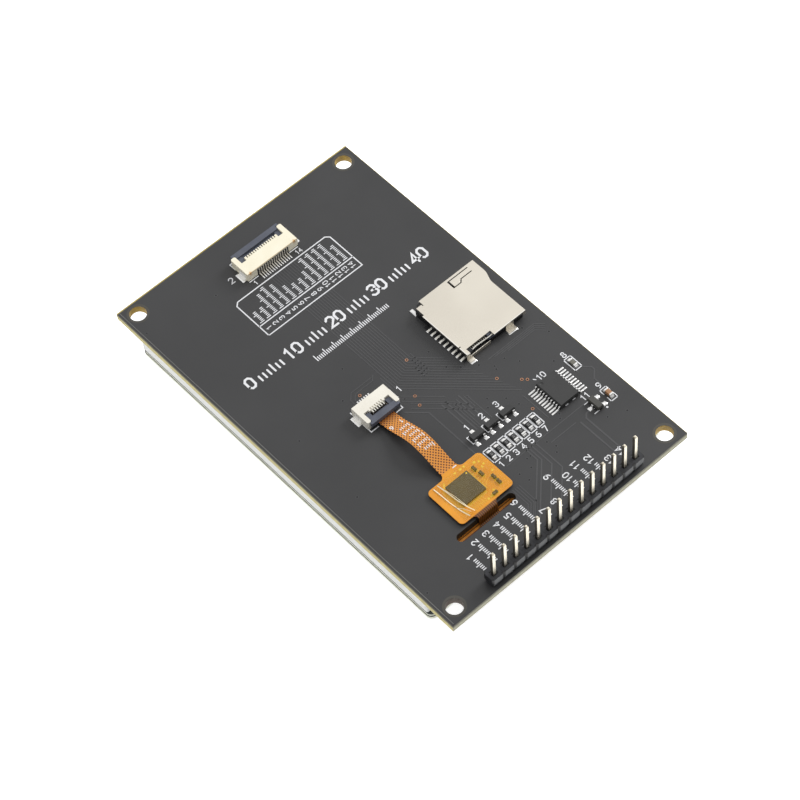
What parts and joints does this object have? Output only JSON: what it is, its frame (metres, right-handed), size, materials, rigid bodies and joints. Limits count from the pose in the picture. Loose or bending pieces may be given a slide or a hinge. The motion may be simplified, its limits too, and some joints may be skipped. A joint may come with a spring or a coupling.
{
  "type": "tft display module",
  "caption": "Small colour display module with touch glass, shown circuit side up: pin header, memory card socket, flat cable sockets and a folded touch cable.",
  "frame": {"origin": "centre of the board's outline, on the front face of the cover glass, which the module lies on", "axes": "+Z from the screen face to the component side, +Y along the long side away from the pin header, +X across the short side towards the card slot's mouth"},
  "size_m": [0.055, 0.0892, 0.0144],
  "materials": {
    "board_mask": "satin black solder mask on glass fibre laminate, khaki cut edge",
    "black_nylon": "moulded black nylon",
    "pin_plating": "pale gold flashed square wire",
    "solder": "bright tin solder",
    "ivory_plastic": "ivory heat resistant moulding",
    "slate_plastic": "dark slate moulding",
    "contact_plating": "tin plated spring bronze",
    "shell_steel": "bright nickel plated stainless sheet, softly satin",
    "chip_epoxy": "dark grey moulded epoxy",
    "resistor_body": "black glazed alumina with tinned ends",
    "capacitor_body": "tan fired ceramic with tinned ends",
    "polyimide": "amber polyimide film over copper",
    "polyimide_tape": "clear yellow film tape",
    "foam": "black closed cell foam",
    "white_foam": "white double sided foam tape",
    "clear_glass": "clear polished glass",
    "border_ink": "black border ink",
    "polariser_film": "dark polariser film",
    "white_plastic": "white reflective polycarbonate",
    "optical_film": "milky optical film",
    "light_acrylic": "clear acrylic light guide",
    "lamp": "white lamp package with yellow phosphor"
  },
  "bodies": {
    "module": {"circuit_board": "board_mask", "header_body": "black_nylon", "header_pins": "pin_plating", "header_solder": "solder", "wide_socket": "ivory_plastic", "wide_contacts": "contact_plating", "wide_anchors": "solder", "narrow_socket": "ivory_plastic", "narrow_contacts": "contact_plating", "narrow_anchors": "solder", "card_shell": "shell_steel", "card_base": "slate_plastic", "card_contacts": "contact_plating", "card_spring": "shell_steel", "card_cam_wire": "shell_steel", "logic_chip": "chip_epoxy", "logic_leads": "solder", "regulator": "chip_epoxy", "regulator_leads": "solder", "transistor_1": "chip_epoxy", "transistor_2": "chip_epoxy", "transistor_3": "chip_epoxy", "transistor_leads": "solder", "resistor_1": "resistor_body", "resistor_2": "resistor_body", "resistor_3": "resistor_body", "resistor_4": "resistor_body", "resistor_5": "resistor_body", "resistor_6": "resistor_body", "resistor_7": "resistor_body", "resistor_8": "resistor_body", "supply_capacitor": "capacitor_body", "touch_flex": "polyimide", "touch_stiffener": "polyimide", "touch_pad_foam": "foam", "touch_chip": "chip_epoxy", "touch_capacitors": "capacitor_body", "touch_tape": "polyimide_tape", "cover_lens": "clear_glass", "lens_border": "border_ink", "lens_bond": "optical_film", "touch_sensor": "clear_glass", "gasket": "foam", "front_polariser": "polariser_film", "front_glass": "clear_glass", "rear_glass": "clear_glass", "rear_polariser": "polariser_film", "prism_film": "optical_film", "diffuser": "optical_film", "light_guide": "light_acrylic", "reflector": "white_plastic", "backlight_frame": "white_plastic", "leds": "lamp", "led_flex": "polyimide", "driver_chip": "chip_epoxy", "panel_flex": "polyimide", "mounting_tape": "white_foam"},
    "wide_latch": {"wide_latch": "slate_plastic"},
    "narrow_latch": {"narrow_latch": "slate_plastic"},
    "card_slider": {"card_slider": "slate_plastic"}
  },
  "joints": [
    {"name": "wide_latch_hinge", "type": "hinge", "parent": "module", "child": "wide_latch", "pos_m": [0.00012, 0.03695, 0.00705], "axis": [1, 0, 0], "range_deg": [0, 90]},
    {"name": "narrow_latch_hinge", "type": "hinge", "parent": "module", "child": "narrow_latch", "pos_m": [-0.00783, -0.00455, 0.00705], "axis": [-1, 0, 0], "range_deg": [0, 90]},
    {"name": "card_slide", "type": "slide", "parent": "module", "child": "card_slider", "axis": [-1, 0, 0], "range_m": [0, 0.0028], "stiffness_N_per_m": 100, "deforming": ["card_spring"]}
  ]
}
